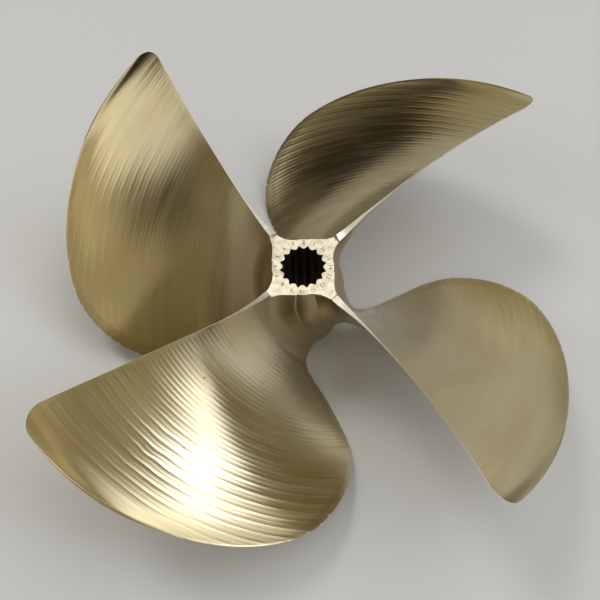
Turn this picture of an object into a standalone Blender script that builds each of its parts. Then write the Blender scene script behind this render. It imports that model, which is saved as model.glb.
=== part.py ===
"""Four-bladed monobloc boat propeller with a splined bore, as one solid.

Metres, +Z up. Z is the shaft axis and points aft, so the aft end of the hub and the pressure faces
of the blades look up. Z = 0 is the plane that the leading edges stand on. +X runs through the tip
of the first blade. Left-handed: seen from aft the propeller turns anticlockwise.

The whole propeller is milled from one bronze casting, so it is built as one object: a turned hub,
four lofted blades with their root fillets, a facing cut over the aft end and a splined bore.
"""

import math

import bmesh
import bpy
from mathutils import Vector

MM = 0.001
INCH = 0.0254

# driving dimensions of the propeller
DIAMETER = 14 * INCH
BLADES = 4
PITCH = 20.5 * INCH
HUB_LENGTH = 73 * MM
HUB_AFT_RADIUS = 18.6 * MM
AFT_FILLET = 10.5 * MM  # root fillet at the trailing edge
PRESSURE_FILLET = 16 * MM  # root fillet of the pressure face at the leading edge
SUCTION_FILLET = 10 * MM  # root fillet of the suction face at the leading edge
BORE_RADIUS = 12.25 * MM
SPLINE_ROOT_RADIUS = 14.25 * MM
SPLINE_TEETH = 16
SPLINE_BEARING = math.radians(17.5)  # of one groove, from the tip of the first blade

TIP_RADIUS = DIAMETER / 2
HUB_SHARE = 0.13  # radius of the hub where the blades stand on it, as a share of the tip radius

# height of the aft face over the plane that the blades stand on
AFT_FACE = 85.4 * MM

# The turned outline of the hub: depth below the aft face, radius.
HUB_PROFILE = [
    (0 * MM, HUB_AFT_RADIUS),
    (6 * MM, 21.0 * MM),
    (14 * MM, 23.6 * MM),
    (26 * MM, 25.4 * MM),
    (40 * MM, 25.2 * MM),
    (54 * MM, 24.0 * MM),
    (64 * MM, 22.9 * MM),
    (HUB_LENGTH - 1.2 * MM, 21.8 * MM),
    (HUB_LENGTH, 20.6 * MM),
]

# Plan of the trailing edge: a line at this bearing that misses the shaft axis by an offset, bowed a
# little towards the leading edge, and rounded off into the tip. Bearings are from the tip of the blade.
TRAILING_BEARING = math.radians(-5.4)
TRAILING_OFFSET = 6.1 * MM
TRAILING_BOW = 3.2 * MM
TIP_ROUND_SHARE = 0.925  # where the round of the tip starts
TIP_SWING = 1.5  # over 1, so that the edge leaves its line without a corner

# Plan of the leading edge: share of the tip radius, bearing in degrees.
LEADING_EDGE = [
    (0.13, 57.5),
    (0.15, 57.0),
    (0.175, 55.3),
    (0.20, 54.2),
    (0.23, 55.2),
    (0.26, 59.3),
    (0.30, 64.2),
    (0.35, 67.7),
    (0.48, 70.5),
    (0.59, 68.9),
    (0.69, 64.2),
    (0.77, 58.7),
    (0.84, 51.9),
    (0.90, 40.8),
    (0.955, 25.1),
    (0.985, 14.7),
    (1.00, 0.0),
]

# Height of the trailing edge over the aft face: the rake of the blade.
TRAILING_RISE = [
    (0.09, 3.6 * MM),
    (0.13, 2.7 * MM),
    (0.16, 2.3 * MM),
    (0.20, 3.0 * MM),
    (0.35, 9.9 * MM),
    (0.48, 17.0 * MM),
    (0.60, 22.2 * MM),
    (0.70, 25.3 * MM),
    (0.80, 27.9 * MM),
    (0.90, 29.4 * MM),
    (0.96, 29.2 * MM),
    (1.00, 27.1 * MM),
]

# Blade section. The pressure face is the pitch face, hollowed by the camber, and the whole thickness
# lies behind it: the greatest thickness and that of the trailing edge, each by share of the tip radius.
THICKNESS = [
    (0.10, 11.5 * MM),
    (0.20, 9.2 * MM),
    (0.35, 7.0 * MM),
    (0.60, 4.6 * MM),
    (0.80, 3.1 * MM),
    (1.00, 1.8 * MM),
]
TRAILING_THICKNESS = [
    (0.09, 4.6 * MM),
    (0.16, 4.3 * MM),
    (0.22, 2.9 * MM),
    (0.30, 1.5 * MM),
    (0.50, 1.1 * MM),
    (1.00, 1.0 * MM),
]
LEADING_THICKNESS = 0.9 * MM
SECTION_FULLNESS = 2.2  # 2 would be a parabola, and more keeps the section thick nearer to its edges
CAMBER = 0.02  # depth of the hollow, as a share of the chord
CAMBER_PEAK = 0.38  # where the hollow is deepest, from the trailing edge

# One groove of the spline: share of the way to the next groove, share of the depth.
GROOVE_SHAPE = [
    (0, 1),
    (0.11, 0.72),
    (0.21, 0.42),
    (0.31, 0.17),
    (0.41, 0.03),
    (0.50, 0),
    (0.59, 0.03),
    (0.69, 0.17),
    (0.79, 0.42),
    (0.89, 0.72),
]

# The faced circle over the aft end, and the slope of its rim.
FACING_RADIUS = 27 * MM
FACING_RIM = (5 * MM, 7 * MM)

ROOT_STEPS = 12
SPAN_STEPS = 22
CHORD_STEPS = 17
HUB_SIDES = 64
FACING_SIDES = 96
CORE_RADIUS = 16 * MM  # the blades run this far into the hub before they are joined
BORE_OVERRUN = 5 * MM  # the spline cutter runs this far past both ends of the hub
FILLET_SINK = 0.5 * MM  # the root fillets meet the hub at a small angle


def smooth(table, x):
    """A value of a two-column table at x, on a smooth curve through its rows."""
    xs = [row[0] for row in table]
    ys = [row[1] for row in table]
    x = min(max(x, xs[0]), xs[-1])
    i = max(k for k in range(len(xs) - 1) if xs[k] <= x)

    def slope(k):
        low, high = max(k - 1, 0), min(k + 1, len(xs) - 1)
        return (ys[high] - ys[low]) / (xs[high] - xs[low])

    step = xs[i + 1] - xs[i]
    t = (x - xs[i]) / step
    start = (1 + 2 * t) * (1 - t) ** 2 * ys[i] + t * (1 - t) ** 2 * step * slope(i)
    end = t * t * (3 - 2 * t) * ys[i + 1] + t * t * (t - 1) * step * slope(i + 1)
    return start + end


def tip_distance(share):
    """0 at the tip and 1 at the root, spaced so that both edges run smoothly into the tip."""
    return math.sqrt(max(0.0, (1 - share) / (1 - HUB_SHARE)))


def trailing_line(share):
    """Bearing of the trailing edge, before the tip is rounded."""
    radius = share * TIP_RADIUS
    along = (share - HUB_SHARE) / (TIP_ROUND_SHARE - HUB_SHARE)
    bow = TRAILING_BOW * max(0.0, 4 * along * (1 - along))
    return TRAILING_BEARING + math.asin((TRAILING_OFFSET + bow) / radius)


def trailing_bearing(share):
    """Bearing of the trailing edge, which swings round to bearing 0 at the tip."""
    near = max(0.0, 1 - tip_distance(share) / tip_distance(TIP_ROUND_SHARE))
    return trailing_line(share) - trailing_line(1) * near**TIP_SWING


def leading_bearing(share):
    rows = [(-tip_distance(x), math.radians(bearing)) for x, bearing in LEADING_EDGE]
    return smooth(rows, -tip_distance(share))


def camber_shape(chord):
    """1 at the peak of the camber and 0 at both edges. chord runs from the trailing edge."""
    if chord < CAMBER_PEAK:
        return 1 - (1 - chord / CAMBER_PEAK) ** 2
    return 1 - ((chord - CAMBER_PEAK) / (1 - CAMBER_PEAK)) ** 2


def root_flare(radius, hub_radius, fillet):
    """How far the root fillet stands out from the blade at this radius."""
    height = min(max(radius - hub_radius + FILLET_SINK, 0.0), fillet)
    return fillet - math.sqrt(fillet**2 - (fillet - height) ** 2)


def hub_radius_at(height):
    return smooth(HUB_PROFILE, AFT_FACE - height)


def thickness_shape(chord):
    """1 where the section is thickest and 0 at both edges."""
    return 1 - abs(2 * chord - 1) ** SECTION_FULLNESS


def blade_point(radius, chord, side):
    """A point of the blade surface. side is 1 on the pressure face and 0 on the suction face."""
    share = radius / TIP_RADIUS
    table_share = max(share, HUB_SHARE)
    aft, fore = trailing_bearing(share), leading_bearing(table_share)
    bearing = aft + (fore - aft) * chord
    climb = PITCH / (2 * math.pi)
    pitch_face = AFT_FACE + smooth(TRAILING_RISE, share)
    height = pitch_face - climb * (bearing - trailing_line(share))

    # the section is drawn on the unrolled cylinder: along the helix, and square to it
    slant = math.atan2(climb, radius)
    length = radius * (fore - aft) / math.cos(slant)
    edge_aft = smooth(TRAILING_THICKNESS, share)
    edge = edge_aft + (LEADING_THICKNESS - edge_aft) * chord
    thickness = edge + (smooth(THICKNESS, share) - edge) * thickness_shape(chord)
    square = -CAMBER * length * camber_shape(chord) - (1 - side) * thickness

    # the root fillet widens both faces and runs out at the leading edge
    fore_fillet = SUCTION_FILLET + (PRESSURE_FILLET - SUCTION_FILLET) * side
    fillet = AFT_FILLET + (fore_fillet - AFT_FILLET) * chord
    flare = root_flare(radius, hub_radius_at(height), fillet)
    if flare > 0:
        turn = max(1 - (1 - chord) * length / flare, 0.0)
        square += (2 * side - 1) * flare * math.sqrt(1 - turn**2)
    angle = bearing + math.sin(slant) * square / radius
    return Vector((radius * math.cos(angle), radius * math.sin(angle), height + math.cos(slant) * square))


def new_object(name, mesh_maker, collection):
    mesh = bpy.data.meshes.new(name)
    bm = bmesh.new()
    mesh_maker(bm)
    bmesh.ops.recalc_face_normals(bm, faces=bm.faces[:])
    bm.to_mesh(mesh)
    bm.free()
    obj = bpy.data.objects.new(name, mesh)
    collection.objects.link(obj)
    return obj


def span_radii():
    """Radii of the sections, close together in the root fillet and at the tip."""
    root_end = HUB_AFT_RADIUS + PRESSURE_FILLET
    growth = (root_end / CORE_RADIUS) ** (1 / ROOT_STEPS)
    root = [CORE_RADIUS * growth**k for k in range(ROOT_STEPS)]
    farthest = tip_distance(root_end / TIP_RADIUS)
    distances = [farthest * (1 - k / SPAN_STEPS) for k in range(SPAN_STEPS)]
    return root + [TIP_RADIUS * (1 - (1 - HUB_SHARE) * distance**2) for distance in distances]


def loft_blade(bm):
    """Sections on cylinders round the shaft, bridged into one closed skin from the hub to the tip."""
    rings = []
    chords = [0.5 - 0.5 * math.cos(math.pi * k / CHORD_STEPS) for k in range(CHORD_STEPS + 1)]
    for radius in span_radii():
        face = [blade_point(radius, chord, 1) for chord in chords]
        back = [blade_point(radius, chord, 0) for chord in reversed(chords)]
        rings.append([bm.verts.new(point) for point in face + back])
    for inner, outer in zip(rings, rings[1:]):
        for k in range(len(inner)):
            following = (k + 1) % len(inner)
            bm.faces.new((inner[k], inner[following], outer[following], outer[k]))
    bm.faces.new(rings[0])
    tip = bm.verts.new(blade_point(TIP_RADIUS, 0.5, 0.5))
    for k in range(len(rings[-1])):
        bm.faces.new((rings[-1][k], rings[-1][(k + 1) % len(rings[-1])], tip))
    bmesh.ops.triangulate(bm, faces=[face for face in bm.faces if len(face.verts) > 4])


def turned(name, profile, collection, sides):
    """A solid of revolution from (radius, height) rows that start and end on the axis."""
    mesh = bpy.data.meshes.new(name)
    mesh.from_pydata([(radius, 0, height) for radius, height in profile],
                     [(k, k + 1) for k in range(len(profile) - 1)], [])
    obj = bpy.data.objects.new(name, mesh)
    collection.objects.link(obj)
    screw = obj.modifiers.new("turn", "SCREW")
    screw.axis = "Z"
    screw.steps = sides
    screw.render_steps = sides
    screw.use_merge_vertices = True
    screw.merge_threshold = 0.01 * MM
    screw.use_smooth_shade = True
    return obj


def hub_solid(collection):
    outline = [(radius, AFT_FACE - depth) for depth, radius in HUB_PROFILE]
    return turned("hub_blank", [(0, AFT_FACE), *outline, (0, AFT_FACE - HUB_LENGTH)], collection, HUB_SIDES)


def facing_cutter(collection):
    """What the lathe takes off over the aft end of the hub and the roots of the trailing edges."""
    rim_width, rim_height = FACING_RIM
    top = AFT_FACE + rim_height
    outline = [(0, top), (FACING_RADIUS + rim_width, top), (FACING_RADIUS, AFT_FACE), (0, AFT_FACE)]
    return turned("facing_cutter", outline, collection, FACING_SIDES)


def spline_cutter(collection):
    """The bore with its sixteen grooves: sharp at the root of each groove, round on each tooth."""
    def draw(bm):
        tooth = 2 * math.pi / SPLINE_TEETH
        depth = SPLINE_ROOT_RADIUS - BORE_RADIUS
        outline = []
        for k in range(SPLINE_TEETH):
            for along, share in GROOVE_SHAPE:
                outline.append((BORE_RADIUS + share * depth, SPLINE_BEARING + (k + along) * tooth))
        low = AFT_FACE - HUB_LENGTH - BORE_OVERRUN
        ring = [bm.verts.new((r * math.cos(a), r * math.sin(a), low)) for r, a in outline]
        base = bm.faces.new(ring)
        raised = bmesh.ops.extrude_face_region(bm, geom=[base])["geom"]
        moved = [part for part in raised if isinstance(part, bmesh.types.BMVert)]
        bmesh.ops.translate(bm, verts=moved, vec=(0, 0, HUB_LENGTH + 2 * BORE_OVERRUN))

    return new_object("spline_cutter", draw, collection)


def boolean(obj, other, operation):
    modifier = obj.modifiers.new(other.name, "BOOLEAN")
    modifier.operation = operation
    modifier.object = other
    modifier.solver = "EXACT"


def bronze():
    material = bpy.data.materials.new("milled_bronze")
    material.use_nodes = True
    shader = material.node_tree.nodes["Principled BSDF"]
    shader.inputs["Base Color"].default_value = (0.58, 0.49, 0.30, 1)
    shader.inputs["Metallic"].default_value = 1.0
    shader.inputs["Roughness"].default_value = 0.3
    return material


def collections():
    made = []
    for name in ("propeller_parts", "cutters"):
        made.append(bpy.data.collections.new(name))
        bpy.context.scene.collection.children.link(made[-1])
    return made


def build():
    for obj in list(bpy.data.objects):
        bpy.data.objects.remove(obj, do_unlink=True)
    parts, cutters = collections()

    propeller = hub_solid(parts)
    propeller.name = "propeller"
    for k in range(BLADES):
        blade = new_object(f"blade_blank_{k + 1}", loft_blade, cutters)
        blade.rotation_euler.z = 2 * math.pi * k / BLADES
        boolean(propeller, blade, "UNION")
    boolean(propeller, facing_cutter(cutters), "DIFFERENCE")
    boolean(propeller, spline_cutter(cutters), "DIFFERENCE")
    propeller.data.materials.append(bronze())
    for cutter in cutters.objects:
        cutter.hide_render = True
        cutter.display_type = "WIRE"


build()
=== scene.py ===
# %% [markdown]
# # A boat propeller milled from one bronze casting
#
# The real object is one piece of nickel aluminium bronze: a short hub, four wide blades and a splined
# bore, cut all over by a small milling cutter that left fine grooves along arcs round the shaft.
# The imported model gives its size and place. This script replaces that plain solid by a fine skin of
# the same shape, with the tool marks really cut into it, and gives each finish its own material.

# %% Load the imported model
import math

import bmesh
import bpy
from mathutils import Matrix, Vector, noise


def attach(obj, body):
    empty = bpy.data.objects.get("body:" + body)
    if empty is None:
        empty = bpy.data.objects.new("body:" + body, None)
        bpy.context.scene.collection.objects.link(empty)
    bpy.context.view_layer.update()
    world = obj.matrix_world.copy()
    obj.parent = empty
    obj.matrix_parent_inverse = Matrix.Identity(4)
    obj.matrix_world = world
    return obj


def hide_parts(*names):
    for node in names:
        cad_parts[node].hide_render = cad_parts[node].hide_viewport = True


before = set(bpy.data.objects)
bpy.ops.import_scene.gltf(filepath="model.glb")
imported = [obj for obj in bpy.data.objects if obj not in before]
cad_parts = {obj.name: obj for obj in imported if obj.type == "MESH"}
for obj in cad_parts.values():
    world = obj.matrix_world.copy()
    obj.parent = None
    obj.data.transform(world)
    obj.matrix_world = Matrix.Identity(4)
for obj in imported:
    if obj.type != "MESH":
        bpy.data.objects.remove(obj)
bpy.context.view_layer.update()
MM = 0.001

# %% [markdown]
# ## The camera
#
# A photograph of a flat thing says where its camera was, because near blades look larger than far
# ones. A pinhole camera was fitted to the four blade outlines, and these are its numbers: it looks
# down steeply from half a metre, tilted by two degrees. The rotation is built from three directions,
# which is easier to read than Euler angles when a view is both rolled and aimed off centre.

# %% Set the camera
AFT_FACE = 85.4 * MM  # height of the faced end of the hub
PHOTO_WIDTH = 600  # pixels
FOCAL_LENGTH = 764.68  # pixels
CAMERA_DISTANCE = 457.84 * MM
CAMERA_HEIGHT = math.radians(63.24)
CAMERA_ROLL = math.radians(-2.14)
HUB_PIXEL = (303.0, 266.6)  # where the middle of the aft face lies in the photograph
VIEW_BEARING = math.radians(-35.54)  # turn of the viewer's right hand from the tip of the first blade

spin = Matrix.Rotation(VIEW_BEARING, 3, "Z")
back = Vector((0, -math.cos(CAMERA_HEIGHT), math.sin(CAMERA_HEIGHT)))
level = Vector((1, 0, 0))
upright = back.cross(level)
right = math.cos(CAMERA_ROLL) * level + math.sin(CAMERA_ROLL) * upright
above = math.cos(CAMERA_ROLL) * upright - math.sin(CAMERA_ROLL) * level
looking = Matrix((right, above, back)).transposed()
pan = math.atan((HUB_PIXEL[0] - PHOTO_WIDTH / 2) / FOCAL_LENGTH)
tilt = math.atan((HUB_PIXEL[1] - PHOTO_WIDTH / 2) / FOCAL_LENGTH)
aimed = looking @ Matrix.Rotation(pan, 3, "Y") @ Matrix.Rotation(tilt, 3, "X")

camera = bpy.data.objects.new("camera", bpy.data.cameras.new("camera"))
camera.data.sensor_width = 36
camera.data.lens = FOCAL_LENGTH / PHOTO_WIDTH * camera.data.sensor_width
camera.data.clip_start = 0.01
place = spin @ (back * CAMERA_DISTANCE) + Vector((0, 0, AFT_FACE))
camera.matrix_world = Matrix.Translation(place) @ (spin @ aimed).to_4x4()
bpy.context.scene.collection.objects.link(camera)
bpy.context.scene.camera = camera
print("camera at", [round(x, 3) for x in place], "lens", round(camera.data.lens, 2))

# %% [markdown]
# ## The room
#
# Polished metal has hardly a look of its own: it shows the room. So the room is worked out first, as
# soft patches of light on a dim sky. An image of a room would do the same, and so would area lamps,
# but patches can be moved one by one, they need no file, and they light the floor as well. The
# reflections on the four blades tell where each one is: a tall cool window at the right, a bright
# ceiling, a small strong lamp ahead, a pale wall at the left, and next to nothing low down at the
# left, which turns one blade dark brown. Behind the floor the picture shows a plain backdrop instead.

# %% Choose the patches of light
DIM_CORNERS = (0.035, 0.027, 0.018)
COOL = (0.92, 1.00, 1.22)
WHITE = (1.00, 1.00, 1.00)
WARM = (1.10, 0.99, 0.70)
PATCHES = [
    # what it is, bearing, height, inner radius, outer radius in degrees, brightness, tint
    ("window, upper part", 99, 39, 4, 13, 3.30, COOL),
    ("window, middle", 100, 24, 5, 18, 2.00, COOL),
    ("window, foot", 106, 8, 6, 22, 1.00, COOL),
    ("window, far side", 76, 34, 4, 14, 0.40, WHITE),
    ("ceiling", 50, 64, 6, 32, 1.90, WHITE),
    ("lamp ahead", -39, 57, 4, 11, 11.0, WHITE),
    ("ceiling by the window", 85, 55, 8, 26, 0.80, WHITE),
    ("table ahead", 40, 2, 12, 36, 0.62, WHITE),
    ("table at the right", 74, 5, 8, 26, 0.22, WHITE),
    ("wall ahead", 0, 10, 8, 26, 0.38, WARM),
    ("wall behind the window", 124, 24, 6, 22, 0.34, WARM),
    ("wall behind at the right", 146, 50, 8, 26, 0.32, WARM),
    ("pale wall at the left", -93, 39, 8, 24, 1.12, WHITE),
    ("pale wall, edge", -70, 45, 8, 26, 0.12, WARM),
    ("pale wall, top", -114, 61, 6, 22, 0.45, WARM),
    ("dim corner at the left", -75, 5, 6, 20, 0.10, WARM),
    ("left, low down", -110, 2, 8, 30, 0.22, WARM),
    ("behind, low down", -160, 5, 10, 40, 0.16, WARM),
    ("behind at the left", -140, 25, 8, 28, 0.10, WARM),
    ("behind, high up", -165, 55, 8, 28, 0.44, WARM),
    ("ceiling at the left", -40, 45, 8, 28, 0.10, WARM),
]


def direction(bearing, height):
    """Unit vector towards a place in the room. The bearing is clockwise from straight ahead."""
    bearing, height = math.radians(bearing), math.radians(height)
    flat = Vector((math.sin(bearing), math.cos(bearing), 0)) * math.cos(height)
    return spin @ (flat + Vector((0, 0, math.sin(height))))


print("patches of light:", len(PATCHES))

# %% Paint the sky
BACKDROP = (0.50, 0.50, 0.49, 1)  # what shows behind the floor; the room is only mirrored


def add_node(tree, kind, settings=(), **inputs):
    """A new node with its settings made and its inputs set or linked. In the name of an input a space
    is written as _, and i0, i1, i2 are the first three inputs."""
    node = tree.nodes.new(kind)
    for name, value in dict(settings).items():
        setattr(node, name, value)
    for name, value in inputs.items():
        numbered = name[0] == "i" and name[1:].isdigit()
        socket = node.inputs[int(name[1:]) if numbered else name.replace("_", " ")]
        if isinstance(value, bpy.types.NodeSocket):
            tree.links.new(value, socket)
        else:
            socket.default_value = value
    return node


world = bpy.data.worlds.new("room")
bpy.context.scene.world = world
world.use_nodes = True
sky = world.node_tree
sky.nodes.clear()
where = add_node(sky, "ShaderNodeTexCoord").outputs["Generated"]
glow = DIM_CORNERS
for name, bearing, height, inner, outer, brightness, tint in PATCHES:
    near = add_node(sky, "ShaderNodeVectorMath", {"operation": "DOT_PRODUCT", "label": name},
                    i0=where, i1=direction(bearing, height)).outputs["Value"]
    patch = add_node(sky, "ShaderNodeMapRange", {"interpolation_type": "SMOOTHSTEP"}, Value=near,
                     From_Min=math.cos(math.radians(outer)), From_Max=math.cos(math.radians(inner)))
    glow = add_node(sky, "ShaderNodeVectorMath", {"operation": "MULTIPLY_ADD"},
                    i0=patch.outputs[0], i1=Vector(tint) * brightness, i2=glow).outputs[0]
room = add_node(sky, "ShaderNodeBackground", Color=glow).outputs[0]
plain = add_node(sky, "ShaderNodeBackground", Color=BACKDROP).outputs[0]
seen = add_node(sky, "ShaderNodeLightPath").outputs["Is Camera Ray"]
shown = add_node(sky, "ShaderNodeMixShader", i0=seen, i1=room, i2=plain).outputs[0]
add_node(sky, "ShaderNodeOutputWorld", Surface=shown)
bpy.context.scene.view_settings.view_transform = "Standard"
print("sky nodes:", len(sky.nodes))

# %% [markdown]
# ## The floor
#
# The propeller lies on a pale sheet with a slight sheen. The floor is one large flat face with a
# plain material: its own colour lights the undersides of the blades, and its sheen is rough, so that
# it mirrors the window only as a haze. It isn't part of the propeller.

# %% Lay the floor
FLOOR_SIDE = 6.0  # metres
FLOOR_PALE = (0.61, 0.61, 0.60, 1)

floor_mesh = bmesh.new()
bmesh.ops.create_grid(floor_mesh, x_segments=1, y_segments=1, size=FLOOR_SIDE / 2)
floor_data = bpy.data.meshes.new("floor")
floor_mesh.to_mesh(floor_data)
floor_mesh.free()
floor = bpy.data.objects.new("floor", floor_data)
bpy.context.scene.collection.objects.link(floor)
paper = bpy.data.materials.new("pale_floor")
paper.use_nodes = True
sheen = paper.node_tree.nodes["Principled BSDF"].inputs
sheen["Base Color"].default_value = FLOOR_PALE
sheen["Roughness"].default_value = 0.3
sheen["IOR"].default_value = 1.2  # less sheen than paint, which has 1.5
floor.data.materials.append(paper)
print("floor faces:", len(floor.data.polygons))

# %% [markdown]
# ## The form of a blade
#
# A propeller blade is a piece of a screw surface: each section, cut by a cylinder round the shaft,
# climbs at the same pitch. A propeller maker draws it by five curves against the radius: the two edges
# in plan, the rake, the thickness of the section and that of the trailing edge. The same curves made
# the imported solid, so they are written here again as short tables, and a smooth curve runs through the
# rows of each. A lattice pulled into shape by eye would be quicker, but it would miss the solid.

# %% Driving sizes of the propeller
DIAMETER = 14 * 25.4 * MM
TIP_RADIUS = DIAMETER / 2
BLADES = 4
PITCH = 20.5 * 25.4 * MM
CLIMB = PITCH / (2 * math.pi)  # along the shaft for each radian round it
HUB_LENGTH = 73 * MM
HUB_AFT_RADIUS = 18.6 * MM
HUB_SHARE = 0.13  # radius of the hub as a share of the tip radius
HUB_PROFILE = [  # depth below the aft face, radius
    (0 * MM, HUB_AFT_RADIUS),
    (6 * MM, 21.0 * MM),
    (14 * MM, 23.6 * MM),
    (26 * MM, 25.4 * MM),
    (40 * MM, 25.2 * MM),
    (54 * MM, 24.0 * MM),
    (64 * MM, 22.9 * MM),
    (HUB_LENGTH - 1.2 * MM, 21.8 * MM),
    (HUB_LENGTH, 20.6 * MM),
]


def smooth(table, x):
    """A value of a two-column table at x, on a smooth curve through its rows."""
    xs = [row[0] for row in table]
    ys = [row[1] for row in table]
    x = min(max(x, xs[0]), xs[-1])
    i = max(k for k in range(len(xs) - 1) if xs[k] <= x)

    def slope(k):
        low, high = max(k - 1, 0), min(k + 1, len(xs) - 1)
        return (ys[high] - ys[low]) / (xs[high] - xs[low])

    step = xs[i + 1] - xs[i]
    t = (x - xs[i]) / step
    start = (1 + 2 * t) * (1 - t) ** 2 * ys[i] + t * (1 - t) ** 2 * step * slope(i)
    end = t * t * (3 - 2 * t) * ys[i + 1] + t * t * (t - 1) * step * slope(i + 1)
    return start + end


print("hub radius 20 mm below the aft face, in mm:", round(smooth(HUB_PROFILE, 20 * MM) / MM, 2))

# %% The two edges of a blade in plan
TRAILING_BEARING = math.radians(-5.4)
TRAILING_OFFSET = 6.1 * MM
TRAILING_BOW = 3.2 * MM
TIP_ROUND_SHARE = 0.925
TIP_SWING = 1.5
LEADING_EDGE = [  # share of the tip radius, bearing in degrees from the tip
    (0.13, 57.5), (0.15, 57.0), (0.175, 55.3), (0.20, 54.2), (0.23, 55.2), (0.26, 59.3),
    (0.30, 64.2), (0.35, 67.7), (0.48, 70.5), (0.59, 68.9), (0.69, 64.2), (0.77, 58.7),
    (0.84, 51.9), (0.90, 40.8), (0.955, 25.1), (0.985, 14.7), (1.00, 0.0),
]


def tip_distance(share):
    """0 at the tip and 1 at the root, spaced so that both edges run smoothly into the tip."""
    return math.sqrt(max(0.0, (1 - share) / (1 - HUB_SHARE)))


def trailing_line(share):
    """Bearing of the trailing edge before the tip is rounded: a bowed line that misses the shaft."""
    along = (share - HUB_SHARE) / (TIP_ROUND_SHARE - HUB_SHARE)
    bow = TRAILING_BOW * max(0.0, 4 * along * (1 - along))
    return TRAILING_BEARING + math.asin((TRAILING_OFFSET + bow) / (share * TIP_RADIUS))


def trailing_bearing(share):
    """Bearing of the trailing edge, which swings round to the leading edge at the tip."""
    near = max(0.0, 1 - tip_distance(share) / tip_distance(TIP_ROUND_SHARE))
    return trailing_line(share) - trailing_line(1) * near**TIP_SWING


def leading_bearing(share):
    """Bearing of the leading edge, on a smooth curve through its table."""
    rows = [(-tip_distance(x), math.radians(bearing)) for x, bearing in LEADING_EDGE]
    return smooth(rows, -tip_distance(share))


print("width of a blade at half its radius, in degrees:",
      round(math.degrees(leading_bearing(0.5) - trailing_bearing(0.5)), 1))

# %% Rake, thickness and camber
TRAILING_RISE = [  # share of the tip radius, height of the trailing edge over the aft face
    (0.09, 3.6 * MM), (0.13, 2.7 * MM), (0.16, 2.3 * MM), (0.20, 3.0 * MM), (0.35, 9.9 * MM),
    (0.48, 17.0 * MM), (0.60, 22.2 * MM), (0.70, 25.3 * MM), (0.80, 27.9 * MM), (0.90, 29.4 * MM),
    (0.96, 29.2 * MM), (1.00, 27.1 * MM),
]
THICKNESS = [(0.10, 11.5 * MM), (0.20, 9.2 * MM), (0.35, 7.0 * MM), (0.60, 4.6 * MM), (0.80, 3.1 * MM),
             (1.00, 1.8 * MM)]
TRAILING_THICKNESS = [(0.09, 4.6 * MM), (0.16, 4.3 * MM), (0.22, 2.9 * MM), (0.30, 1.5 * MM),
                      (0.50, 1.1 * MM), (1.00, 1.0 * MM)]
LEADING_THICKNESS = 0.9 * MM
SECTION_FULLNESS = 2.2
CAMBER = 0.02
CAMBER_PEAK = 0.38


def camber_shape(chord):
    """0 at both edges and 1 where the section stands furthest off its chord."""
    if chord < CAMBER_PEAK:
        return 1 - (1 - chord / CAMBER_PEAK) ** 2
    return 1 - ((chord - CAMBER_PEAK) / (1 - CAMBER_PEAK)) ** 2


def section(radius):
    """What is the same all along one section of the blade."""
    share = radius / TIP_RADIUS
    aft, fore = trailing_bearing(share), leading_bearing(max(share, HUB_SHARE))
    slant = math.atan2(CLIMB, radius)
    return {
        "radius": radius, "aft": aft, "fore": fore, "slant": slant,
        "length": radius * (fore - aft) / math.cos(slant),
        "pitch_start": trailing_line(share),
        "pitch_height": AFT_FACE + smooth(TRAILING_RISE, share),
        "thickness": smooth(THICKNESS, share),
        "edge": smooth(TRAILING_THICKNESS, share),
    }


print("length of the section at half the radius, in mm:",
      round(section(TIP_RADIUS / 2)["length"] / MM, 1))

# %% The root fillet
AFT_FILLET = 10.5 * MM
PRESSURE_FILLET = 16 * MM
SUCTION_FILLET = 10 * MM
FILLET_SINK = 0.5 * MM
FILLET_END = 46 * MM  # no fillet reaches past this radius
CORE_RADIUS = 17.3 * MM  # the blades start inside the hub, but clear of the bore


def fade(x, low, high):
    """0 below low, 1 above high, and a smooth step between them."""
    t = min(max((x - low) / (high - low), 0.0), 1.0)
    return t * t * (3 - 2 * t)


def root_flare(radius, height, chord, side):
    """How far the root fillet stands out from the blade."""
    fore_fillet = SUCTION_FILLET + (PRESSURE_FILLET - SUCTION_FILLET) * side
    fillet = AFT_FILLET + (fore_fillet - AFT_FILLET) * chord**0.6
    hub_radius = smooth(HUB_PROFILE, AFT_FACE - height)
    rise = min(max(radius - hub_radius + FILLET_SINK, 0.7 * FILLET_SINK), fillet)
    inside_hub = fade(radius, CORE_RADIUS, HUB_AFT_RADIUS)
    return inside_hub * (fillet - math.sqrt(fillet**2 - (fillet - rise) ** 2))


print("fillet on the pressure face 27 mm from the shaft, in mm:",
      round(root_flare(27 * MM, AFT_FACE - 20 * MM, 0.5, 1) / MM, 1))


# %% A point of the skin
def blade_point(ring, chord, side, lift=0.0):
    """A point of the blade's skin. side is 1 on the pressure face and 0 on the suction face, chord runs
    from 0 at the trailing edge to 1 at the leading edge, and lift stands out square to the face."""
    radius, length = ring["radius"], ring["length"]
    bearing = ring["aft"] + (ring["fore"] - ring["aft"]) * chord
    height = ring["pitch_height"] - CLIMB * (bearing - ring["pitch_start"])
    edge = ring["edge"] + (LEADING_THICKNESS - ring["edge"]) * chord
    full = 1 - abs(2 * chord - 1) ** SECTION_FULLNESS
    thickness = edge + (ring["thickness"] - edge) * full
    square = -CAMBER * length * camber_shape(chord) - (1 - side) * thickness
    if radius < FILLET_END:
        flare = root_flare(radius, height, chord, side)
        if flare > 0:
            turn = max(1 - (1 - chord) * length / flare, 0.0)
            square += (2 * side - 1) * flare * math.sqrt(1 - turn**2)
    square += (2 * side - 1) * lift
    angle = bearing + math.sin(ring["slant"]) * square / radius
    return Vector((radius * math.cos(angle), radius * math.sin(angle),
                   height + math.cos(ring["slant"]) * square))


print("tip of the trailing edge, height in mm:", round(blade_point(section(TIP_RADIUS), 0, 1).z / MM, 1))

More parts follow.
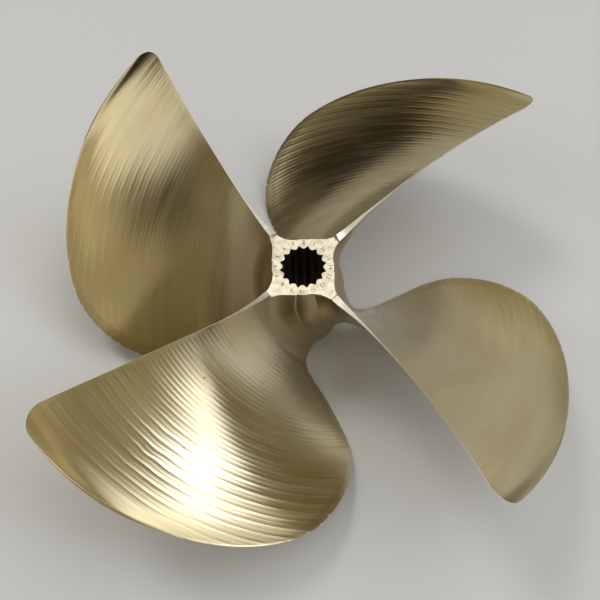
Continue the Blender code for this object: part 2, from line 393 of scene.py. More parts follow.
# %% [markdown]
# ## The tool marks
#
# A ball-nosed cutter sweeps each blade along arcs round the shaft and steps outwards after each
# pass. Two neighbouring passes leave a low ridge. On the inner part of a blade the ridges are 2.6 mm
# apart, and further out every second one is the higher. The marks could be a bump texture, but real
# grooves also show in the outline and in the exported mesh, so they are cut into the skin: a scallop
# a twentieth of a millimetre deep tilts the surface by three degrees, which is enough to break a
# reflection into bands. The cut only takes metal away.

# %% Sizes of the tool marks
GROOVE_PITCH = 5.2 * MM
GROOVE_DEPTH = 0.062 * MM
HALF_GROOVE_DEPTH = 0.034 * MM
WIDE_PASSES = (104 * MM, 128 * MM)  # from here outwards every second ridge stands up most
WIDE_INSIDE = 0.15  # share of the wide grooves' depth that is left further in
NARROW_OUTSIDE = 0.5  # share of the narrow grooves' depth that is left further out
MARKS_SHOWN = (1.0, 0.55, 1.0, 0.45)  # how plainly the marks show on each blade
GROOVE_START = 42 * MM  # the roots are milled along the hub instead
GROOVE_END = 163 * MM
EARLIER_START = 5 * MM  # the leading half is milled this much further in
RUN_IN = 0.6 * MM  # half the width over which the first groove deepens
RUN_OUT = 4 * MM  # half the width over which the last groove fades
MARKS_STOP = 5 * MM  # from the leading edge
STRAY = 0.18 * MM  # how far a ridge strays from its arc
OUTER_STRAY = 0.5 * MM  # and how much further in the outer part of the trailing half
STRAY_LENGTH = 9 * MM  # size of one swing along the ridge
STRAY_WIDTH = 14 * MM  # and across it
SEED_STEP = 7.3  # takes each face to another slice of the noise
EDGE_BAND = 11 * MM  # the edges are dressed by hand over this width
EDGE_ROLL = 0.34 * MM  # and this much is gone at the edge itself
EDGE_ROLL_START = (45 * MM, 60 * MM)

print("greatest slope of a groove in degrees:",
      round(math.degrees(math.atan(4 * GROOVE_DEPTH / GROOVE_PITCH)), 1))


# %% How deep the cutter went
def scallop(turns):
    """0 on the ridges and 1 in the middle of each groove."""
    across = 2 * (turns - math.floor(turns)) - 1
    return 1 - across * across


def wobble(ring, chord, seed):
    """How far a ridge strays from its arc."""
    radius, from_trailing = ring["radius"], chord * ring["length"]
    reach = STRAY + OUTER_STRAY * fade(radius, 105 * MM, 140 * MM) * (1 - fade(chord, 0.3, 0.5))
    place = Vector((from_trailing / STRAY_LENGTH, radius / STRAY_WIDTH, seed * SEED_STEP))
    return reach * noise.noise(place)


def tool_marks(ring, chord, seed, shown):
    """How deep the cutter went, in metres."""
    radius = ring["radius"]
    from_trailing, from_leading = chord * ring["length"], (1 - chord) * ring["length"]
    start = GROOVE_START - EARLIER_START * fade(chord, 0.2, 0.5)
    milled = fade(radius, start - RUN_IN, start + RUN_IN)
    milled *= 1 - fade(radius, GROOVE_END - RUN_OUT, GROOVE_END + RUN_OUT)
    milled *= fade(from_trailing, 1 * MM, 5 * MM) * fade(from_leading, 0.6 * MARKS_STOP, 1.4 * MARKS_STOP)
    turns = (radius + wobble(ring, chord, seed)) / GROOVE_PITCH
    wide = fade(radius, *WIDE_PASSES)
    depth = GROOVE_DEPTH * (WIDE_INSIDE + (1 - WIDE_INSIDE) * wide) * scallop(turns)
    depth += HALF_GROOVE_DEPTH * (1 - (1 - NARROW_OUTSIDE) * wide) * scallop(2 * turns)
    rolled = max(0.0, 1 - from_leading / EDGE_BAND) ** 2
    # the trailing edge has lost a quarter as much, over half the width
    rolled += 0.25 * max(0.0, 1 - 2 * from_trailing / EDGE_BAND) ** 2
    return milled * shown * depth + EDGE_ROLL * rolled * fade(radius, *EDGE_ROLL_START)


print("cut at the middle of a blade, in mm:",
      round(tool_marks(section(TIP_RADIUS / 2), 0.5, 0, 1.0) / MM, 3))

# %% [markdown]
# ## The blades
#
# Each blade starts as a flat grid. One direction of the grid runs round the section: over the
# pressure face, round the leading edge, back over the suction face and across the trailing edge.
# The other runs from inside the hub to the tip. Every vertex is then carried to its place on the
# blade, and the two sides of the grid meet and are welded. The grid keeps its UV map, rewritten in
# metres along and across the grooves, so that the finish can follow the cutter's path.

# %% Rings and columns of the grid
RINGS_PER_GROOVE = 16
ROOT_RINGS = 60
TIP_RINGS = 26
FACE_COLUMNS = 120
BACK_COLUMNS = 64
ROUND_COLUMNS = 4
STRIP_COLUMNS = 3
EDGE_ROUND = 0.35 * MM


def ring_radii():
    """Radii of the grid's rings: close at the root, a fixed number in each groove, close at the tip."""
    first = math.ceil((GROOVE_START - 3 * MM) / GROOVE_PITCH) * GROOVE_PITCH
    last = math.floor((GROOVE_END + RUN_OUT) / GROOVE_PITCH) * GROOVE_PITCH
    growth = (first / CORE_RADIUS) ** (1 / ROOT_RINGS)
    root = [CORE_RADIUS * growth**k for k in range(ROOT_RINGS)]
    middle_count = round((last - first) / GROOVE_PITCH) * RINGS_PER_GROOVE
    middle = [first + (last - first) * k / middle_count for k in range(middle_count)]
    farthest = tip_distance(last / TIP_RADIUS)
    tip = [TIP_RADIUS * (1 - (1 - HUB_SHARE) * (farthest * (1 - k / TIP_RINGS)) ** 2)
           for k in range(TIP_RINGS + 1)]
    return root + middle + tip


def columns():
    """(chord, side, edge) of each column round the section; edge is how far to step off the edge."""
    def spread(count):
        even = [k / count for k in range(count + 1)]
        return [0.6 * t + 0.4 * (0.5 - 0.5 * math.cos(math.pi * t)) for t in even]

    face = [(t, 1.0, 0) for t in spread(FACE_COLUMNS)]
    turns = [math.pi * k / ROUND_COLUMNS for k in range(1, ROUND_COLUMNS)]
    leading = [(1.0, 0.5 + 0.5 * math.cos(turn), 1 - math.sin(turn)) for turn in turns]
    suction = [(1 - t, 0.0, 0) for t in spread(BACK_COLUMNS)]
    trailing = [(0.0, k / STRIP_COLUMNS, 0) for k in range(1, STRIP_COLUMNS + 1)]
    return face + leading + suction + trailing


RADII = ring_radii()
COLUMNS = columns()
print(len(RADII), "rings and", len(COLUMNS), "columns,",
      2 * (len(RADII) - 1) * (len(COLUMNS) - 1), "triangles a blade")

# %% Name the maps that the finish reads
UV_NAME = "cutter_path"  # metres across and along the grooves
EDGE_UV_NAME = "edge_distance"  # metres from the leading edge and from the trailing edge
MARKS_UV_NAME = "marks_shown"  # how plainly the marks show, and 1 on a browner blade
BROWN_ROOTS = (0, 1, 0, 0)  # the root of this blade is stained
WELD = 0.01 * MM  # vertices closer than this are one


def add_maps(bm):
    """Gives a new mesh the three maps."""
    return [bm.loops.layers.uv.new(name) for name in (UV_NAME, EDGE_UV_NAME, MARKS_UV_NAME)]


def face_seed(blade, side):
    """The two faces of a blade are cut one after the other, so their ridges stray differently."""
    return blade + 3 * (1 - round(side))


print("maps:", UV_NAME, EDGE_UV_NAME, MARKS_UV_NAME)


# %% Carry the grid to the shape of a blade
def grid_blade(blade):
    """The skin of the first blade, open along its seam and at both ends, with the marks of any blade."""
    bm = bmesh.new()
    uv, edge_uv, marks_uv = add_maps(bm)
    last_column, last_ring = len(COLUMNS) - 1, len(RADII) - 1
    strip_start = last_column - STRIP_COLUMNS
    bmesh.ops.create_grid(bm, x_segments=last_column, y_segments=last_ring, size=0.5, calc_uvs=True)
    rings = [section(radius) for radius in RADII]
    inner_end = {}
    for vert in bm.verts:
        column, row = round((vert.co.x + 0.5) * last_column), round((vert.co.y + 0.5) * last_ring)
        chord, side, edge = COLUMNS[column]
        ring = rings[row]
        if row == 0:
            inner_end[vert] = column
        inset = EDGE_ROUND * edge / max(ring["length"], EDGE_ROUND)
        depth = tool_marks(ring, chord, face_seed(blade, side), MARKS_SHOWN[blade])
        vert.co = blade_point(ring, chord - inset, side, -depth)
    for face in bm.faces:
        face.smooth = True
        if min(round(loop[uv].uv.x * last_column) for loop in face.loops) >= strip_start:
            face.material_index = 1  # the trailing edge gets the dressed finish, whose pale colour is painted highlight
        for loop in face.loops:
            chord, side, edge = COLUMNS[round(loop[uv].uv.x * last_column)]
            ring = rings[round(loop[uv].uv.y * last_ring)]
            strayed = ring["radius"] + wobble(ring, chord, face_seed(blade, side))
            loop[uv].uv = (strayed, (chord - 0.5) * ring["length"] + blade * TIP_RADIUS)
            loop[edge_uv].uv = ((1 - chord) * ring["length"], chord * ring["length"])
            loop[marks_uv].uv = (MARKS_SHOWN[blade], BROWN_ROOTS[blade])
    return bm, inner_end


# %% Close the skin
def close_blade(bm, inner_end):
    """Fills the end that is hidden inside the hub, from face to face, and welds the seam and the tip."""
    back_start = FACE_COLUMNS + ROUND_COLUMNS
    faces = (0, FACE_COLUMNS), (back_start, back_start + BACK_COLUMNS)
    chains = []
    for edge in bm.edges:
        ends = [inner_end.get(vert, -1) for vert in edge.verts]
        if any(first <= min(ends) and max(ends) <= last for first, last in faces):
            chains.append(edge)
    bmesh.ops.bridge_loops(bm, edges=chains)
    bmesh.ops.remove_doubles(bm, verts=bm.verts[:], dist=WELD)
    bmesh.ops.holes_fill(bm, edges=[edge for edge in bm.edges if edge.is_boundary], sides=0)
    bmesh.ops.recalc_face_normals(bm, faces=bm.faces[:])
    print("open edges left:", sum(edge.is_boundary for edge in bm.edges))


def as_object(bm, name):
    mesh = bpy.data.meshes.new(name)
    bm.to_mesh(mesh)
    bm.free()
    obj = bpy.data.objects.new(name, mesh)
    bpy.context.scene.collection.objects.link(obj)
    return obj


# %% Make the four blades
blades = []
for k in range(BLADES):
    bm, inner_end = grid_blade(k)
    close_blade(bm, inner_end)
    bmesh.ops.rotate(bm, verts=bm.verts[:], matrix=Matrix.Rotation(math.tau * k / BLADES, 3, "Z"))
    blades.append(as_object(bm, f"blade_{k + 1}"))
print("vertices of a blade:", len(blades[0].data.vertices))

# %% [markdown]
# ## The hub
#
# The hub is a turned barrel with a flat face at each end. A lathe makes it from a profile, and so
# does the spin operator: it carries a line of vertices once round the shaft. A cylinder with its
# vertices moved would do too, but a profile keeps the real radii in one short table.

# %% Spin the barrel
HUB_SIDES = 192
HUB_RINGS = 60

bm = bmesh.new()
depths = [HUB_LENGTH * k / HUB_RINGS for k in range(HUB_RINGS + 1)]
outline = [bm.verts.new((0, 0, AFT_FACE))]
outline += [bm.verts.new((smooth(HUB_PROFILE, depth), 0, AFT_FACE - depth)) for depth in depths]
outline.append(bm.verts.new((0, 0, AFT_FACE - HUB_LENGTH)))
profile = [bm.edges.new(pair) for pair in zip(outline, outline[1:])]
uv, edge_uv, marks_uv = add_maps(bm)
bmesh.ops.spin(bm, geom=outline + profile, cent=(0, 0, 0), axis=(0, 0, 1), dvec=(0, 0, 0),
               angle=math.tau, steps=HUB_SIDES, use_merge=True)
bmesh.ops.remove_doubles(bm, verts=bm.verts[:], dist=WELD)
bmesh.ops.recalc_face_normals(bm, faces=bm.faces[:])
for face in bm.faces:
    face.smooth = True
    for loop in face.loops:
        spot = loop.vert.co
        turn = math.atan2(spot.y, spot.x)
        middle = face.calc_center_median()
        turn += math.tau * round((math.atan2(middle.y, middle.x) - turn) / math.tau)
        loop[uv].uv = (Vector((spot.x, spot.y)).length - spot.z, turn * HUB_AFT_RADIUS)
        loop[edge_uv].uv = (1, 1)  # far from any edge of a blade
        loop[marks_uv].uv = (0, 0)
hub = as_object(bm, "hub")
print("hub faces:", len(hub.data.polygons))

# %% [markdown]
# ## The splined bore and the faced end
#
# A broach is drawn through the hub and leaves sixteen grooves that grip the shaft. The aft end is then
# faced on a lathe, which also trims the roots of the trailing edges to four corners, pale with the
# face's painted highlight. Both are cuts, so both are made as cutters: a star-shaped prism, and a turned
# solid with a flat underside.
# Building the teeth into the barrel's own faces would need many faces listed by hand.

# %% Shape the cutter of the spline
BORE_RADIUS = 12.25 * MM
SPLINE_ROOT_RADIUS = 14.25 * MM
SPLINE_TEETH = 16
SPLINE_BEARING = math.radians(17.5)
GROOVE_SHAPE = [(0, 1), (0.11, 0.72), (0.21, 0.42), (0.31, 0.17), (0.41, 0.03), (0.50, 0),
                (0.59, 0.03), (0.69, 0.17), (0.79, 0.42), (0.89, 0.72)]
OVERRUN = 5 * MM  # the prism stands out this far at both ends


def spline_cutter():
    bm = bmesh.new()
    tooth = math.tau / SPLINE_TEETH
    star = []
    for k in range(SPLINE_TEETH):
        for along, share in GROOVE_SHAPE:
            radius = BORE_RADIUS + share * (SPLINE_ROOT_RADIUS - BORE_RADIUS)
            turn = SPLINE_BEARING + (k + along) * tooth
            star.append(bm.verts.new((radius * math.cos(turn), radius * math.sin(turn),
                                      AFT_FACE - HUB_LENGTH - OVERRUN)))
    base = bm.faces.new(star)
    raised = bmesh.ops.extrude_face_region(bm, geom=[base])["geom"]
    moved = [part for part in raised if isinstance(part, bmesh.types.BMVert)]
    bmesh.ops.translate(bm, verts=moved, vec=(0, 0, HUB_LENGTH + 2 * OVERRUN))
    bmesh.ops.recalc_face_normals(bm, faces=bm.faces[:])
    return as_object(bm, "spline_cutter")


spline = spline_cutter()
print("faces of the spline's cutter:", len(spline.data.polygons))

# %% Shape the facing cutter
FACING_RADIUS = 27 * MM
FACING_RIM = (5 * MM, 7 * MM)  # width and height of the slope beyond it
FACING_SINK = 0.3 * MM  # how much lower the blades end inside the hub


def facing_cutter():
    """What the lathe takes off the roots of the trailing edges, and a little more inside the hub."""
    bm = bmesh.new()
    rim_width, rim_height = FACING_RIM
    top, sunk = AFT_FACE + rim_height, AFT_FACE - FACING_SINK
    rows = [(0, top), (FACING_RADIUS + rim_width, top), (FACING_RADIUS, AFT_FACE),
            (HUB_AFT_RADIUS, AFT_FACE), (HUB_AFT_RADIUS, sunk), (0, sunk)]
    verts = [bm.verts.new((radius, 0, height)) for radius, height in rows]
    edges = [bm.edges.new(pair) for pair in zip(verts, verts[1:])]
    bmesh.ops.spin(bm, geom=verts + edges, cent=(0, 0, 0), axis=(0, 0, 1), dvec=(0, 0, 0),
                   angle=math.tau, steps=HUB_SIDES, use_merge=True)
    bmesh.ops.remove_doubles(bm, verts=bm.verts[:], dist=WELD)
    bmesh.ops.recalc_face_normals(bm, faces=bm.faces[:])
    return as_object(bm, "facing_cutter")


facing = facing_cutter()
print("faces of the facing cutter:", len(facing.data.polygons))

# %% [markdown]
# ## The numbers on the face
#
# Marks are struck into the face all round the bore. Here they are plain numbers, one on each tooth.
# A text object already has the outline of a digit, so each one is given a thickness and joined into
# one cutter. A bump from a picture would be simpler, but it would need a file and stay flat.

# %% Number the teeth of the spline
NUMBER_RADIUS = 16.5 * MM
NUMBER_SIZE = 3.5 * MM  # the capitals of the built-in font are 0.7 of this high
NUMBER_DEPTH = 0.3 * MM
NUMBER_WELD = 0.0005 * MM


def number_cutter():
    """Solid numbers that reach down into the face, one over each tooth."""
    bm = bmesh.new()
    for k in range(SPLINE_TEETH):
        text = bpy.data.curves.new("number", "FONT")
        text.body = str(k + 1)
        text.size = NUMBER_SIZE
        text.align_x = text.align_y = "CENTER"
        text.extrude = NUMBER_DEPTH
        text.resolution_u = 3
        obj = bpy.data.objects.new("number", text)
        bpy.context.scene.collection.objects.link(obj)
        bpy.context.view_layer.update()
        mesh = bpy.data.meshes.new_from_object(obj.evaluated_get(bpy.context.evaluated_depsgraph_get()))
        turn = SPLINE_BEARING + (k + 0.5) * math.tau / SPLINE_TEETH
        spot = Matrix.Rotation(turn, 4, "Z") @ Matrix.Translation((NUMBER_RADIUS, 0, AFT_FACE))
        mesh.transform(spot @ Matrix.Rotation(-math.pi / 2, 4, "Z"))
        bm.from_mesh(mesh)
        bpy.data.objects.remove(obj)
        bpy.data.meshes.remove(mesh)
    bmesh.ops.remove_doubles(bm, verts=bm.verts[:], dist=NUMBER_WELD)
    bmesh.ops.recalc_face_normals(bm, faces=bm.faces[:])
    print("open edges of the numbers:", sum(not edge.is_manifold for edge in bm.edges))
    return as_object(bm, "number_cutter")


numbers = number_cutter()
print("faces of the numbers' cutter:", len(numbers.data.polygons))


# %% Cut one solid out of another
def cut(obj, cutter):
    """Takes the cutter out of the object for good; the new faces bring the cutter's material."""
    modifier = obj.modifiers.new("cut", "BOOLEAN")
    modifier.operation = "DIFFERENCE"
    modifier.object = cutter
    modifier.solver = "EXACT"
    modifier.material_mode = "TRANSFER"
    bpy.context.view_layer.update()
    seen = obj.evaluated_get(bpy.context.evaluated_depsgraph_get())
    old = obj.data
    obj.data = bpy.data.meshes.new_from_object(seen)
    obj.data.name = old.name
    bpy.data.meshes.remove(old)
    obj.modifiers.clear()


# %% [markdown]
# ## The finishes
#
# Everything is the same bronze, in five finishes: milled on the blades and the barrel, faced on the
# aft end, dressed by hand along the trailing edges, broached in the bore and dark in the struck
# numbers. They share one recipe, a metal whose colour, roughness and relief come from a few nodes, so
# the small functions for these nodes come first.

# %% Start a finish
BRONZE = (0.52, 0.45, 0.27, 1)


def bronze(name, colour, roughness):
    """A new metal, with its node tree and its shader."""
    material = bpy.data.materials.new(name)
    material.use_nodes = True
    shader = material.node_tree.nodes["Principled BSDF"]
    shader.inputs["Base Color"].default_value = colour
    shader.inputs["Metallic"].default_value = 1.0
    shader.inputs["Roughness"].default_value = roughness
    return material, material.node_tree, shader


# %% Shorten what its nodes repeat
def math_node(tree, operation, first, second=0.0, third=0.0):
    node = add_node(tree, "ShaderNodeMath", {"operation": operation}, i0=first, i1=second, i2=third)
    return node.outputs[0]


def ramp(tree, value, low, high, start=0.0, end=1.0):
    """Goes smoothly from start to end while the value goes from low to high."""
    return add_node(tree, "ShaderNodeMapRange", {"interpolation_type": "SMOOTHSTEP"}, Value=value,
                    From_Min=low, From_Max=high, To_Min=start, To_Max=end).outputs[0]


def wave(tree, value, period):
    """Swings between -1 and 1 once in each period."""
    return math_node(tree, "SINE", math_node(tree, "MULTIPLY", value, math.tau / period))


def streaks(tree, path, across, along, detail=2.0):
    """Noise drawn out along the cutter's path: its size is given in metres across and along it."""
    scaled = add_node(tree, "ShaderNodeVectorMath", {"operation": "MULTIPLY"}, i0=path,
                      i1=(1 / across, 1 / along, 1)).outputs[0]
    return add_node(tree, "ShaderNodeTexNoise", {"noise_dimensions": "2D"}, Vector=scaled, Scale=1.0,
                    Detail=detail).outputs[0]


def blend(tree, factor, first, second):
    """A colour between two colours."""
    node = add_node(tree, "ShaderNodeMix", {"data_type": "RGBA"})
    for name, value in (("Factor_Float", factor), ("A_Color", first), ("B_Color", second)):
        socket = next(socket for socket in node.inputs if socket.identifier == name)
        if isinstance(value, bpy.types.NodeSocket):
            tree.links.new(value, socket)
        else:
            socket.default_value = value
    return next(socket for socket in node.outputs if socket.identifier == "Result_Color")


def bump(tree, shader, height):
    """Tilts the surface by a height in metres."""
    node = add_node(tree, "ShaderNodeBump", Strength=1.0, Distance=1.0, Height=height)
    tree.links.new(node.outputs[0], shader.inputs["Normal"])


# %% [markdown]
# ## The pits
#
# Gas in the melt leaves small holes in a casting, and the cutter opened three of them. They are only
# about a millimetre wide, so they are painted: a dark spot of painted shade, for the shade inside each
# hole, round a point of the blade's own surface. The place comes from the same function that shaped the
# blade, so that it can't miss it.

# %% Pits of the casting
PITS = [  # blade, radius, chord, radius of the pit
    (3, 88.2 * MM, 0.195, 0.55 * MM),
    (3, 125.3 * MM, 0.355, 0.5 * MM),
    (4, 128.0 * MM, 0.82, 0.5 * MM),
]


def pit_places():
    for blade, radius, chord, size in PITS:
        turned = Matrix.Rotation(math.tau * (blade - 1) / BLADES, 3, "Z")
        yield turned @ blade_point(section(radius), chord, 1), size


print("pits at, in mm:", [[round(x / MM, 1) for x in place] for place, size in pit_places()])

# %% [markdown]
# ## The milled finish
#
# Between two ridges the cutter's edge leaves finer lines, and where the blade twists away it chatters
# into a weave. Both run along the cutter's path, so this finish reads the grid's UV map, which holds
# metres across and along that path. An image would blur from close by; waves and noise don't. The
# lines tilt the surface a little, the cut's heat and dirt brown it in places, and burrs stay bright.

# %% Where the cutter went
milled, tree, shader = bronze("milled_bronze", BRONZE, 0.2)


def read_map(tree, name):
    """The map itself and its two numbers."""
    whole = add_node(tree, "ShaderNodeUVMap", {"uv_map": name}).outputs[0]
    parts = add_node(tree, "ShaderNodeSeparateXYZ", i0=whole)
    return whole, parts.outputs[0], parts.outputs[1]


path, across, along = read_map(tree, UV_NAME)
from_leading = read_map(tree, EDGE_UV_NAME)[1]
marks_shown, brown_root = read_map(tree, MARKS_UV_NAME)[1:]
spot = add_node(tree, "ShaderNodeTexCoord").outputs["Object"]
print("the finish reads", UV_NAME, EDGE_UV_NAME, MARKS_UV_NAME)

# %% [markdown]
# ## The relief of the milled finish
#
# Five small things tilt the surface: two sizes of line along the cut, the weave, the burr that stands
# on each ridge, and the lines that run along the dressed leading edge. Their heights are added up in
# metres, so that each one is a depth that a gauge could measure, and a single Bump node uses the sum.

# %% Shape the relief of the milled finish
FINE_DEPTH = 0.006 * MM
COARSE_DEPTH = 0.004 * MM
WEAVE_PERIOD = 1.9 * MM
WEAVE_DEPTH = 0.003 * MM
RIDGE_BURR = (0.45 * MM, 0.010 * MM)  # half its width, and its height
EDGE_LINES = (1.15 * MM, 0.003 * MM)  # their period and depth

fine = streaks(tree, path, 0.7 * MM, 16 * MM)
coarse = streaks(tree, path, 1.7 * MM, 90 * MM, detail=1.0)
up = math_node(tree, "ADD", across, along)
down = math_node(tree, "SUBTRACT", across, along)
weave = math_node(tree, "MULTIPLY", wave(tree, up, WEAVE_PERIOD), wave(tree, down, WEAVE_PERIOD))
woven = math_node(tree, "MULTIPLY", ramp(tree, across, 80 * MM, 115 * MM),
                  ramp(tree, streaks(tree, path, 30 * MM, 40 * MM), 0.35, 0.6))
height = math_node(tree, "MULTIPLY", fine, FINE_DEPTH)
height = math_node(tree, "MULTIPLY_ADD", coarse, COARSE_DEPTH, height)
height = math_node(tree, "MULTIPLY_ADD", math_node(tree, "MULTIPLY", weave, woven), WEAVE_DEPTH, height)

ridge = math_node(tree, "PINGPONG", across, GROOVE_PITCH / 4)  # 0 on each ridge
crest = math_node(tree, "MULTIPLY", ramp(tree, ridge, 0, RIDGE_BURR[0], 1.0, 0.0), marks_shown)
crest = math_node(tree, "MULTIPLY", crest, ramp(tree, across, GROOVE_START, GROOVE_START + 6 * MM))
height = math_node(tree, "MULTIPLY_ADD", crest, RIDGE_BURR[1], height)

edge_band = ramp(tree, from_leading, 7 * MM, 12 * MM, 1.0, 0.0)
lines = math_node(tree, "MULTIPLY", wave(tree, from_leading, EDGE_LINES[0]), edge_band)
height = math_node(tree, "MULTIPLY_ADD", lines, EDGE_LINES[1], height)
bump(tree, shader, height)
print("nodes so far:", len(tree.nodes))

# %% [markdown]
# ## The colour and gloss of the milled finish
#
# Clean bronze is a greenish yellow. It is browner in patches, along the leading edge and round the
# root, where the cutter crept. Burrs are bright and dull at the same time, because they are torn.
# Each of these is a mask between 0 and 1, and the colours are laid over each other mask by mask.

# %% Colour the milled finish
MILLED_BROWN = (0.49, 0.40, 0.235, 1)
EDGE_BROWN = (0.42, 0.34, 0.20, 1)
ROOT_BROWN = (0.40, 0.31, 0.185, 1)
# painted shade: the dark inside each open pit
PIT_PAINTED_SHADE = (0.05, 0.035, 0.02, 1)
BURR_PALE = (0.86, 0.80, 0.62, 1)

patchy = streaks(tree, path, 24 * MM, 70 * MM, detail=2.0)
colour = blend(tree, ramp(tree, patchy, 0.38, 0.75), BRONZE, MILLED_BROWN)
colour = blend(tree, math_node(tree, "MULTIPLY", edge_band, 0.7), colour, EDGE_BROWN)
stain = math_node(tree, "MULTIPLY", ramp(tree, across, 40 * MM, 72 * MM, 1.0, 0.0), brown_root)
root = math_node(tree, "MAXIMUM", ramp(tree, across, 38 * MM, 42 * MM, 1.0, 0.0), stain)
colour = blend(tree, math_node(tree, "MULTIPLY", root, 0.8), colour, ROOT_BROWN)
burr = math_node(tree, "MULTIPLY", ramp(tree, wave(tree, across, GROOVE_PITCH), 0.88, 0.96),
                 ramp(tree, from_leading, 0.7 * MM, 1.8 * MM, 1.0, 0.0))
burr = math_node(tree, "MULTIPLY", burr, ramp(tree, streaks(tree, path, 4 * MM, 4 * MM), 0.4, 0.5))
colour = blend(tree, burr, colour, BURR_PALE)
# painted shade: a dark spot where each pit is, for the shade inside the hole
pit_shade = 0.0
for place, size in pit_places():
    distance = add_node(tree, "ShaderNodeVectorMath", {"operation": "DISTANCE"}, i0=spot, i1=place)
    near = ramp(tree, distance.outputs["Value"], 0.6 * size, 1.2 * size, 1.0, 0.0)
    pit_shade = math_node(tree, "MAXIMUM", pit_shade, near)
colour = blend(tree, pit_shade, colour, PIT_PAINTED_SHADE)
tree.links.new(colour, shader.inputs["Base Color"])
print("nodes so far:", len(tree.nodes))

# %% Set the gloss of the milled finish
ROUGH_ROOT = 0.34
ROUGH_BURR = 0.45

roughness = ramp(tree, streaks(tree, path, 5 * MM, 60 * MM), 0.3, 0.7, 0.16, 0.24)
roughness = math_node(tree, "MAXIMUM", roughness, math_node(tree, "MULTIPLY", burr, ROUGH_BURR))
roughness = math_node(tree, "MAXIMUM", roughness, math_node(tree, "MULTIPLY", root, ROUGH_ROOT))
tree.links.new(roughness, shader.inputs["Roughness"])
print("nodes of the milled finish:", len(tree.nodes))

# %% [markdown]
# ## The faced finish
#
# The aft face is turned flat, then knocked about by tools and nuts. Two sizes of noise make its dents,
# and the same noise wears the colour. It is the same bronze, and its paler colour is painted highlight
# for the bright light that the flat face mirrors. Modelled dents would be real, but they are far too
# shallow to change the outline. Object coordinates are enough, because the face has no grain.

# %% The faced finish
# painted highlight: the faced bronze is made paler to stand in for the bright light it mirrors
FACED_PAINTED_HIGHLIGHT = (0.74, 0.68, 0.52, 1)
FACED_WORN = (0.60, 0.52, 0.36, 1)
DENT_DEPTH = 0.05 * MM
WAVE_DEPTH = 0.22 * MM

faced, tree, shader = bronze("faced_bronze", FACED_PAINTED_HIGHLIGHT, 0.25)
spot = add_node(tree, "ShaderNodeTexCoord").outputs["Object"]
dents = add_node(tree, "ShaderNodeTexNoise", Vector=spot, Scale=260.0, Detail=3.0).outputs[0]
waves = add_node(tree, "ShaderNodeTexNoise", Vector=spot, Scale=110.0, Detail=1.0).outputs[0]
height = math_node(tree, "MULTIPLY", waves, WAVE_DEPTH)
bump(tree, shader, math_node(tree, "MULTIPLY_ADD", dents, DENT_DEPTH, height))
worn = blend(tree, ramp(tree, dents, 0.42, 0.66), FACED_PAINTED_HIGHLIGHT, FACED_WORN)
tree.links.new(worn, shader.inputs["Base Color"])
tree.links.new(ramp(tree, waves, 0.35, 0.65, 0.18, 0.34), shader.inputs["Roughness"])
print("nodes of the faced finish:", len(tree.nodes))

# %% [markdown]
# ## The dressed trailing edges
#
# The trailing edges are filed to their last thickness. A rather rough surface catches the light from most
# sides, as file marks do, and a near-white colour is painted highlight on top, which makes them the
# brightest metal on the piece. Single strokes could be drawn along the edge, but on a strip a millimetre
# wide nobody would see them.

# %% The dressed trailing edges
# painted highlight: the filed strips get a near-white colour on top of their real rough finish
DRESSED_PAINTED_HIGHLIGHT = (0.92, 0.88, 0.76, 1)
FILE_DEPTH = 0.06 * MM

dressed, tree, shader = bronze("dressed_bronze", DRESSED_PAINTED_HIGHLIGHT, 0.42)
spot = add_node(tree, "ShaderNodeTexCoord").outputs["Object"]
filed = add_node(tree, "ShaderNodeTexNoise", Vector=spot, Scale=420.0, Detail=2.0).outputs[0]
bump(tree, shader, math_node(tree, "MULTIPLY", filed, FILE_DEPTH))
tree.links.new(ramp(tree, filed, 0.3, 0.7, 0.34, 0.5), shader.inputs["Roughness"])
print("nodes of the dressed finish:", len(tree.nodes))

# %% [markdown]
# ## The bore
#
# No light reaches far into the bore, and its dark colour is painted shade. What shows is lines along
# the shaft, which the broach left: noise that is squeezed across the shaft and drawn out along it. They
# could be cut like the grooves of the blades, but so deep in the shade a bump is enough.

# %% The broached bore
# painted shade: the bore's metal is made dark to stand in for the shade deep inside it
BORE_PAINTED_SHADE = (0.16, 0.12, 0.09, 1)
BROACH_DEPTH = 0.02 * MM

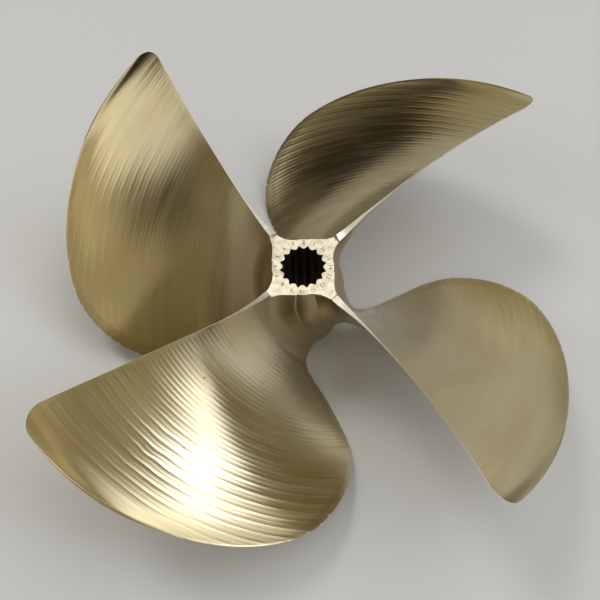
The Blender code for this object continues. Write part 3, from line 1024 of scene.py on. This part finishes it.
broached, tree, shader = bronze("broached_bronze", BORE_PAINTED_SHADE, 0.42)
spot = add_node(tree, "ShaderNodeTexCoord").outputs["Object"]
drawn = add_node(tree, "ShaderNodeVectorMath", {"operation": "MULTIPLY"}, i0=spot, i1=(1500, 1500, 40))
drawn = add_node(tree, "ShaderNodeTexNoise", Vector=drawn.outputs[0], Scale=1.0, Detail=2.0).outputs[0]
tree.links.new(ramp(tree, drawn, 0.35, 0.65, 0.35, 0.6), shader.inputs["Roughness"])
bump(tree, shader, math_node(tree, "MULTIPLY", drawn, BROACH_DEPTH))
print("nodes of the broached finish:", len(tree.nodes))

# %% [markdown]
# ## The struck numbers
#
# Dirt stays in the bottom of a struck mark, and it makes the mark readable. The cutter of the numbers
# carries this dark metal, and the cut leaves it on the new faces. A mask in the faced finish could
# darken them too, but it would have to be told again where each digit lies.

# %% The stamped numbers
STAMPED_DARK = (0.17, 0.13, 0.085, 1)

stamped, tree, shader = bronze("stamped_bronze", STAMPED_DARK, 0.5)
spot = add_node(tree, "ShaderNodeTexCoord").outputs["Object"]
worn = add_node(tree, "ShaderNodeTexNoise", Vector=spot, Scale=900.0, Detail=2.0).outputs[0]
tree.links.new(ramp(tree, worn, 0.3, 0.7, 0.4, 0.6), shader.inputs["Roughness"])
print("nodes of the stamped finish:", len(tree.nodes))

# %% [markdown]
# ## Putting it together
#
# The finishes go on before the cuts, because each cut hands its cutter's metal to the faces that it
# makes. Edges sharper than 32 degrees stay sharp, and all others are shaded smooth. Then each piece is
# told which body carries it, and the plain solid is hidden.

# %% Give the finishes to the pieces
SHARP = math.radians(32)

for blade in blades:
    blade.data.materials.append(milled)
    blade.data.materials.append(dressed)
hub.data.materials.append(milled)
hub.data.materials.append(faced)
for face in hub.data.polygons:
    if face.normal.z > 0.99:
        face.material_index = 1
print("faces of the aft end:", sum(face.material_index for face in hub.data.polygons))

# %% Make the cuts
for cutter, finish in ((facing, faced), (spline, broached), (numbers, stamped)):
    cutter.data.materials.append(finish)
for blade in blades:
    cut(blade, facing)
cut(hub, spline)
cut(hub, numbers)
for cutter in (facing, spline, numbers):
    bpy.data.objects.remove(cutter)
for piece in [hub, *blades]:
    piece.data.set_sharp_from_angle(angle=SHARP)
    print(piece.name, "triangles:", sum(len(p.vertices) - 2 for p in piece.data.polygons),
          "materials:", [m.name for m in piece.data.materials])

# %% Ride on the body, and finish
for piece in [hub, *blades]:
    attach(piece, "root")
    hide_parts("propeller")
